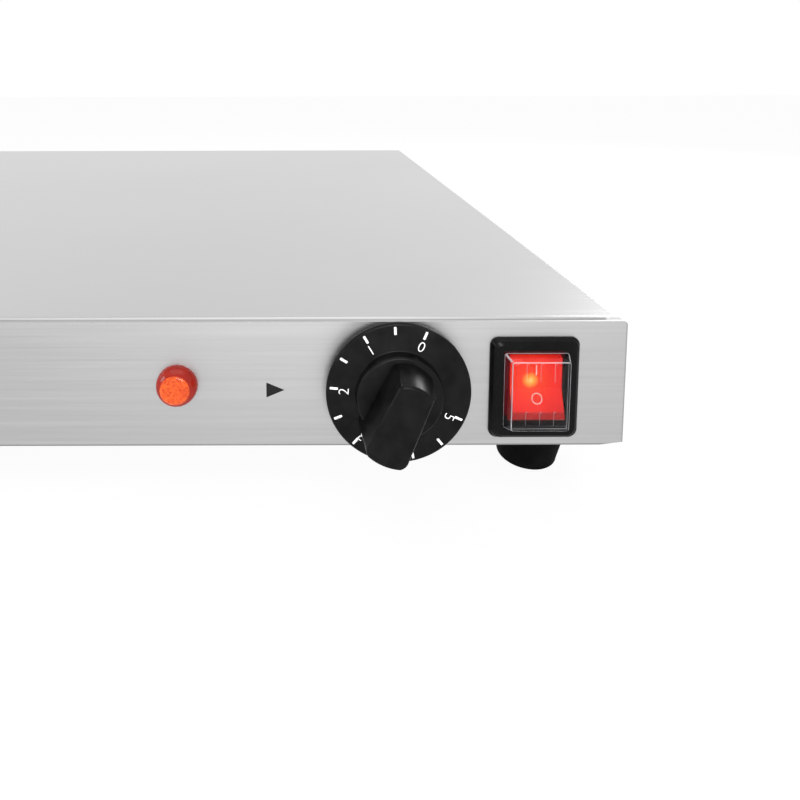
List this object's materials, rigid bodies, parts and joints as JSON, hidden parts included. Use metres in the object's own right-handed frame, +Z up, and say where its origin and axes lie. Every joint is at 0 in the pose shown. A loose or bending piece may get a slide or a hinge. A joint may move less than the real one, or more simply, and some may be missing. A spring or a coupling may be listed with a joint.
{
  "type": "electric food warmer tray",
  "caption": "Flat electric warming tray with a folded steel top, a brushed control panel with dial, lit rocker switch and lamp, and rubber feet.",
  "frame": {"origin": "on the standing surface, below the middle of the whole object", "axes": "+X along the control panel to the right as the user sees it, +Y to the rear, +Z up"},
  "size_m": [0.65, 0.572, 0.0617],
  "materials": {
    "top_steel": "satin",
    "brushed_steel": "brushed along the panel",
    "galvanised_steel": "galvanised",
    "rubber": "matte",
    "zinc": "zinc plated",
    "aluminium": "mill",
    "heater_steel": "oxidised",
    "ceramic": "matte",
    "wool": "fibrous",
    "phenolic": "moulded",
    "brass": "plain",
    "copper": "drawn",
    "black_plastic": "satin",
    "red_rocker": "lit from inside",
    "lamp_glass": "clear",
    "clear_cover": "clear plastic",
    "amber_lens": "faceted"
  },
  "bodies": {
    "cabinet": {"top_plate": "top_steel", "front_fascia": "brushed_steel", "base_plate": "galvanised_steel", "foot_front_left": "rubber", "foot_front_right": "rubber", "foot_rear_left": "rubber", "foot_rear_right": "rubber", "foot_screws": "zinc", "foot_washers": "zinc", "foot_nuts": "zinc", "base_screws": "zinc", "fascia_nuts": "zinc", "heat_spreader": "aluminium", "heating_element": "heater_steel", "element_terminals": "ceramic", "element_clamps": "zinc", "weld_studs": "zinc", "clamp_nuts": "zinc", "insulation_pan": "galvanised_steel", "insulation_blanket": "wool", "pan_nuts": "zinc", "pan_grommet": "rubber", "thermostat_plate": "galvanised_steel", "thermostat_body": "phenolic", "thermostat_capsule": "aluminium", "thermostat_screws": "zinc", "thermostat_terminals": "brass", "capillary_tube": "copper", "sensor_bulb": "copper", "bulb_clip": "zinc", "switch_housing": "black_plastic", "switch_terminals": "brass", "switch_cover": "clear_cover", "indicator_lens": "amber_lens", "indicator_body": "ceramic", "indicator_nut": "zinc", "indicator_terminals": "brass", "cable_gland": "black_plastic", "gland_seal": "rubber", "gland_cap": "black_plastic", "gland_locknut": "black_plastic", "terminal_block": "ceramic", "terminal_screws": "zinc", "block_screws": "zinc", "earth_stud": "zinc", "earth_nut": "brass"},
    "dial": {"control_knob": "black_plastic", "knob_clip": "zinc", "thermostat_shaft": "zinc"},
    "rocker": {"switch_rocker": "red_rocker", "switch_lamp": "lamp_glass"}
  },
  "joints": [
    {"name": "dial_turn", "type": "hinge", "parent": "cabinet", "child": "dial", "pos_m": [0.244, -0.264, 0.0367], "axis": [0, 1, 0], "range_deg": [-113, 157]},
    {"name": "rocker_tip", "type": "hinge", "parent": "cabinet", "child": "rocker", "pos_m": [0.2925, -0.2614, 0.0357], "axis": [1, 0, 0], "range_deg": [0, 20]}
  ]
}
